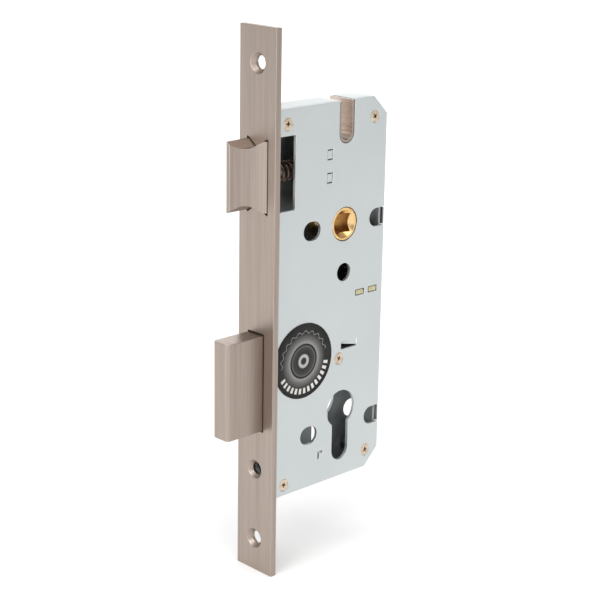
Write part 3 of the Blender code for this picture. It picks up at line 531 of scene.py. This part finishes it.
def screwBlank(length):
    # half outline from the crown down to the tip, turned about Y
    look = screwLook
    rim = look["head"]
    neck = rim - look["shank"]
    outline = [(rim * out, -look["crown"] * high) for out, high in look["crownShape"]]
    outline += [(rim, look["edge"]), (look["shank"], neck)]
    ridge = neck + look["lead"]
    while ridge < length - look["pitch"]:
        outline += [(look["core"], ridge + look["pitch"] / 2)]
        outline += [(look["shank"], ridge + look["pitch"])]
        ridge += look["pitch"]
    outline += [(look["core"], length), (0, length)]
    mesh = bmesh.new()
    spots = [mesh.verts.new((radius, along, 0)) for radius, along in outline]
    rail = [mesh.edges.new(pair) for pair in zip(spots, spots[1:])]
    bmesh.ops.spin(mesh, geom=spots + rail, cent=(0, 0, 0), axis=(0, 1, 0), angle=2 * math.pi,
                   steps=look["sides"], use_merge=True)
    bmesh.ops.remove_doubles(mesh, verts=mesh.verts, dist=look["weld"])
    bmesh.ops.recalc_face_normals(mesh, faces=mesh.faces)
    return mesh


def cutWith(blank, cutter):
    # a Boolean between two bmeshes, given back as a bmesh
    shapes = []
    for label, mesh in (("blank", blank), ("cutter", cutter)):
        bmesh.ops.recalc_face_normals(mesh, faces=mesh.faces)
        data = bpy.data.meshes.new(label)
        mesh.to_mesh(data)
        mesh.free()
        shapes.append(bpy.data.objects.new(label, data))
        bpy.context.scene.collection.objects.link(shapes[-1])
    cut = shapes[0].modifiers.new("cut", "BOOLEAN")
    cut.operation = "DIFFERENCE"
    cut.solver = "EXACT"
    cut.use_self = True
    cut.object = shapes[1]
    evaluated = shapes[0].evaluated_get(bpy.context.evaluated_depsgraph_get())
    result = bmesh.new()
    result.from_mesh(evaluated.to_mesh())
    for shape in shapes:
        bpy.data.objects.remove(shape)
    return result


def makeScrews():
    low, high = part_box("cover_screw_1")
    length = high.y - low.y - screwLook["crown"]
    pattern = cutWith(screwBlank(length), crossCutter())
    near = screwLook["nearRecess"]
    for face in pattern.faces:  # the recess is darker than the head, painted shade
        middle = face.calc_center_median()
        below = abs(face.normal.y) < screwLook["steep"] or middle.y > screwLook["belowHead"]
        within = math.hypot(middle.x, middle.z) < screwLook["recess"] + near
        inRecess = below and within and middle.y < screwLook["recessDepth"] + near
        face.material_index = 1 if inRecess else 0
    for number, turn in enumerate(screwLook["turns"], 1):
        nodeName = f"cover_screw_{number}"
        low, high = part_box(nodeName)
        seat = Vector(((low.x + high.x) / 2, low.y + screwLook["crown"], (low.z + high.z) / 2))
        mesh = pattern.copy()
        turned = Matrix.Translation(seat) @ Matrix.Rotation(math.radians(turn), 4, "Y")
        bmesh.ops.transform(mesh, matrix=turned, verts=mesh.verts)
        finishNames = ["yellowZinc", "recessShadeBrass"]
        made = makePiece(f"coverScrew{number}", mesh, finishNames, screwLook["smooth"])
        place(made, nodeName)
    pattern.free()


makeScrews()
print("cover screws made")


springLook = {
    "wire": 0.5 * mm, "wireSides": 10, "steps": 22, "latchTurns": 12, "followerTurns": 8,
    "closed": 1.3, "armBeside": 0.9 * mm, "smooth": 50,
}


def windSpring(name, nodeName, axisName, turns):
    # a wire ring swept round the axis: one nearly closed turn at each end, open turns between
    low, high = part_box(nodeName)
    middle = (low + high) / 2
    wire, sides = springLook["wire"], springLook["wireSides"]
    radius = (high.y - low.y) / 2 - wire
    alongX = axisName == "X"
    axis = Vector((1, 0, 0)) if alongX else Vector((0, 0, 1))
    start, end = (low.x, high.x) if alongX else (low.z, high.z)
    closedPitch = wire * 2 * springLook["closed"]
    openPitch = (end - start - 2 * wire - 2 * closedPitch) / (turns - 2)
    centre = Vector((start, 0, middle.z)) if alongX else Vector((middle.x, 0, start))
    mesh = bmesh.new()
    ring = bmesh.ops.create_circle(mesh, cap_ends=False, radius=wire, segments=sides)["verts"]
    upright = Matrix.Identity(4) if alongX else Matrix.Rotation(math.pi / 2, 4, "X")
    offset = Vector((0, radius, 0)) if alongX else Vector((radius, 0, 0))
    stand = Matrix.Translation(centre + offset + axis * wire) @ upright
    bmesh.ops.transform(mesh, matrix=stand, verts=ring)
    geometry = ring + mesh.edges[:]
    for share, pitch in ((1, closedPitch), (turns - 2, openPitch), (1, closedPitch)):
        steps = springLook["steps"] * share
        climb = axis * (pitch * share / steps)
        swept = bmesh.ops.spin(mesh, geom=geometry, cent=centre, axis=axis, dvec=climb,
                               angle=2 * math.pi * share, steps=steps, use_merge=False)
        geometry = swept["geom_last"]
    bmesh.ops.holes_fill(mesh, edges=mesh.edges, sides=sides)
    bmesh.ops.recalc_face_normals(mesh, faces=mesh.faces)
    made = makePiece(name, mesh, ["springSteel"], springLook["smooth"])
    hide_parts(nodeName)
    return made, low, high


def makeSprings():
    spring, low, high = windSpring("latchSpring", "latch_spring", "X", springLook["latchTurns"])
    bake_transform(spring)
    turns = springLook["followerTurns"]
    spring, low, high = windSpring("followerSpring", "follower_spring", "Z", turns)
    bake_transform(spring)


def makeTumblerSpring():
    # a welded copy of the CAD spring, in one piece that stays where it stands
    mesh = weldedCopy("tumbler_spring")
    spring = makePiece("tumblerSpring", mesh, ["springSteel"], springLook["smooth"])
    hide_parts("tumbler_spring")
    low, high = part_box("tumbler_spring")
    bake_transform(spring)


makeSprings()
makeTumblerSpring()
print("springs wound")


labelLook = {
    "radius": 17 * mm, "edge": 0.08 * mm, "edgeSteps": 2, "sides": 128, "patch": 0.01, "peel": 0.04,
    # each ring: how far out it starts, as a share of the radius, and its shade
    "rings": ((0, 0.02), (0.08, 0.03), (0.12, 0.5), (0.16, 0.5), (0.2, 0.02), (0.36, 0.05),
              (0.40, 0.12), (0.425, 0.012), (0.455, 0.014), (0.475, 0.29), (0.58, 0.145),
              (0.74, 0.02), (0.90, 0.012), (0.945, 0.008)),
    "ringTint": (1, 0.985, 0.965),
    "marks": 34.0, "markBand": (0.73, 0.88), "markArc": 1.29, "markTurn": 0.16, "barStart": -0.15,
    "markColour": (0.74, 0.72, 0.69), "waves": 21.0, "waveBand": 0.77, "waveHeight": 0.035,
    "waveWidth": 0.012, "waveGap": 0.35, "waveColour": (0.24, 0.235, 0.225),
    "haze": (0.11, 0.105, 0.095), "hazeShare": 0.12, "roughness": (0.34, 0.48),
    "specular": 0.12, "coat": 0.03, "coatRoughness": 0.2,
}


def makeLabel():
    low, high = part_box("round_label")
    middle = (low + high) / 2
    finish["labelFilm"] = labelFilm("labelFilm", labelLook, middle)
    mesh = bmesh.new()
    radius = (high.x - low.x) / 2
    bmesh.ops.create_circle(mesh, cap_ends=True, radius=radius, segments=labelLook["sides"])
    swept = bmesh.ops.extrude_face_region(mesh, geom=mesh.faces[:], use_keep_orig=True)
    raised = [item for item in swept["geom"] if isinstance(item, bmesh.types.BMVert)]
    bmesh.ops.translate(mesh, vec=(0, 0, high.y - low.y), verts=raised)
    bmesh.ops.recalc_face_normals(mesh, faces=mesh.faces)
    roundEdges(mesh, sharpEdges(mesh), labelLook["edge"], labelLook["edgeSteps"])
    stand = Matrix.Translation((middle.x, high.y, middle.z)) @ Matrix.Rotation(math.pi / 2, 4, "X")
    bmesh.ops.transform(mesh, matrix=stand, verts=mesh.verts)
    made = makePiece("roundLabel", mesh, ["labelFilm"])
    evenNormals(made)
    place(made, "round_label")


makeLabel()
print("label made")


hubLook = {"round": 0.16 * mm, "steps": 3, "square": 4.3 * mm, "sideways": 0.3}


def makeFollower():
    # cast brass, darker on the walls of the square hole as painted shade
    mesh = cadCopy("follower")
    axis = Vector(next(j["pos_m"] for j in frame["joints"] if j["name"] == "follower_turn"))
    for face in mesh.faces:
        away = face.calc_center_median() - axis
        inSquare = max(abs(away.x), abs(away.z)) < hubLook["square"]
        isWall = abs(face.normal.y) < hubLook["sideways"]
        face.material_index = 1 if inSquare and isWall else 0
    roundEdges(mesh, sharpEdges(mesh), hubLook["round"], hubLook["steps"])
    made = makePiece("followerHub", mesh, ["castBrass", "recessShadeBrass"])
    evenNormals(made)
    place(made, "follower")


makeFollower()
print("follower made")


linerLook = {"round": 0.12 * mm, "steps": 2, "facing": 0.9}


def makeLiner():
    # bright inside the slot, duller on the strip's cut edges
    mesh = cadCopy("through_bolt_liner")
    for face in mesh.faces:
        face.material_index = 1 if abs(face.normal.y) > linerLook["facing"] else 0
    roundEdges(mesh, sharpEdges(mesh), linerLook["round"], linerLook["steps"])
    made = makePiece("throughBoltLiner", mesh, ["brightNickel", "satinNickel"])
    evenNormals(made)
    place(made, "through_bolt_liner")


makeLiner()
print("liner made")


# the other pieces keep their shape and get worked edges
workedPieces = {
    "forend": ("satinNickel", 0.22 * mm, 3),
    "latch_bolt": ("satinNickel", 0.25 * mm, 3),
    "deadbolt_head": ("satinNickel", 0.22 * mm, 3),
    "latch_tail": ("plainSteel", 0.15 * mm, 2),
    "latch_tail_pin": ("springSteel", 0.1 * mm, 2),
    "latch_guide_bracket": ("zincPlate", 0.12 * mm, 2),
    "follower_spring_bracket": ("oliveBrass", 0.12 * mm, 2),
    "follower_plunger": ("plainSteel", 0.12 * mm, 2),
    "deadbolt_tail": ("plainSteel", 0.15 * mm, 2),
    "deadbolt_rivet_1": ("plainSteel", 0.15 * mm, 2),
    "deadbolt_rivet_2": ("plainSteel", 0.15 * mm, 2),
    "bolt_tumbler": ("plainSteel", 0.12 * mm, 2),
    "tumbler_pivot_pin": ("plainSteel", 0.12 * mm, 2),
}
for pillarNumber in range(1, 6):
    workedPieces[f"cover_pillar_{pillarNumber}"] = ("plainSteel", 0.1 * mm, 2)
for workedName, (finishName, roundWidth, roundSteps) in workedPieces.items():
    softened(workedName, finishName, roundWidth, roundSteps)

print("worked pieces made,", len(workedPieces))


studio = {
    "azimuth": -43.87, "elevation": 16.84, "roll": 0.95, "distance": 0.69474, "lens": 96.13,
    "target": (0.02576, 0.0, -0.03223), "floorSize": 14.0, "floorColour": (0.88, 0.88, 0.875),
    "floorPatch": 1.5, "floorFade": 0.985, "floorRoughness": 0.9, "floorSpecular": 0.1,
    "world": (1.0, 1.0, 1.0), "worldStrength": 0.5, "skyInView": 1.0, "sensor": 36, "nearest": 0.01,
}

lamps = {
    "softSun": {"kind": "SUN", "at": (-0.4, -0.5, 2.0), "spread": 70.0, "power": 2.25},
    "leftPanel": {"kind": "AREA", "at": (-1.5, -0.2, 0.35), "size": (0.9, 1.1), "power": 14.0},
    "backPanel": {"kind": "AREA", "at": (1.3, 1.4, 0.5), "size": (2.2, 0.8), "power": 9.0},
}


def makeFloor():
    mesh = bmesh.new()
    bmesh.ops.create_grid(mesh, x_segments=2, y_segments=2, size=studio["floorSize"])
    bmesh.ops.translate(mesh, vec=(0, 0, cadBox[0][2]), verts=mesh.verts)
    data = bpy.data.meshes.new("studioFloor")
    mesh.to_mesh(data)
    mesh.free()
    paper, tree, shader = newMaterial("studioPaper")
    shader.inputs["Roughness"].default_value = studio["floorRoughness"]
    shader.inputs["Specular IOR Level"].default_value = studio["floorSpecular"]
    clouds = useGroup(tree, "clouds", Patch_Size=studio["floorPatch"], Peel=0.0)
    base = studio["floorColour"]
    faded = [part * studio["floorFade"] for part in base]
    shade = mixColour(tree, clouds["Clouds"], rgb(base), rgb(faded))
    tree.links.new(shade, shader.inputs["Base Color"])
    data.materials.append(paper)
    floor = bpy.data.objects.new("studioFloor", data)
    bpy.context.scene.collection.objects.link(floor)


def makeLamps():
    for name, look in lamps.items():
        light = bpy.data.lights.new(name, look["kind"])
        light.energy = look["power"]
        if look["kind"] == "SUN":
            light.angle = math.radians(look["spread"])
        else:
            light.shape = "RECTANGLE"
            light.size, light.size_y = look["size"]
        lamp = bpy.data.objects.new(name, light)
        lamp.location = look["at"]
        aim = Vector(studio["target"]) - Vector(look["at"])
        lamp.rotation_euler = aim.to_track_quat("-Z", "Y").to_euler()
        bpy.context.scene.collection.objects.link(lamp)


def makeSky():
    world = bpy.data.worlds.new("studioWorld")
    bpy.context.scene.world = world
    world.use_nodes = True
    sky = world.node_tree.nodes["Background"]
    sky.inputs["Color"].default_value = rgb(studio["world"])
    # plain white where the sky itself is in view, softer where it only lights the lock
    inView = addNode(world.node_tree, "ShaderNodeLightPath").outputs["Is Camera Ray"]
    strength = spread(world.node_tree, inView, 0, 1, studio["worldStrength"], studio["skyInView"])
    world.node_tree.links.new(strength, sky.inputs["Strength"])


def makeCamera():
    around, up = math.radians(studio["azimuth"]), math.radians(studio["elevation"])
    back = Vector((math.sin(around) * math.cos(up), -math.cos(around) * math.cos(up), math.sin(up)))
    right = Vector((0, 0, 1)).cross(back).normalized()
    above = back.cross(right)
    tilt = math.radians(studio["roll"])
    leftRight = math.cos(tilt) * right + math.sin(tilt) * above
    upDown = -math.sin(tilt) * right + math.cos(tilt) * above
    turned = Matrix((leftRight, upDown, back)).transposed().to_4x4()
    data = bpy.data.cameras.new("studioCamera")
    data.lens = studio["lens"]
    data.sensor_width = studio["sensor"]
    data.clip_start = studio["nearest"]
    camera = bpy.data.objects.new("studioCamera", data)
    stand = Matrix.Translation(Vector(studio["target"]) + back * studio["distance"])
    camera.matrix_world = stand @ turned
    bpy.context.scene.collection.objects.link(camera)
    bpy.context.scene.camera = camera


makeFloor()
makeLamps()
makeSky()
makeCamera()
bpy.context.scene.view_settings.view_transform = "Standard"
print("studio ready")
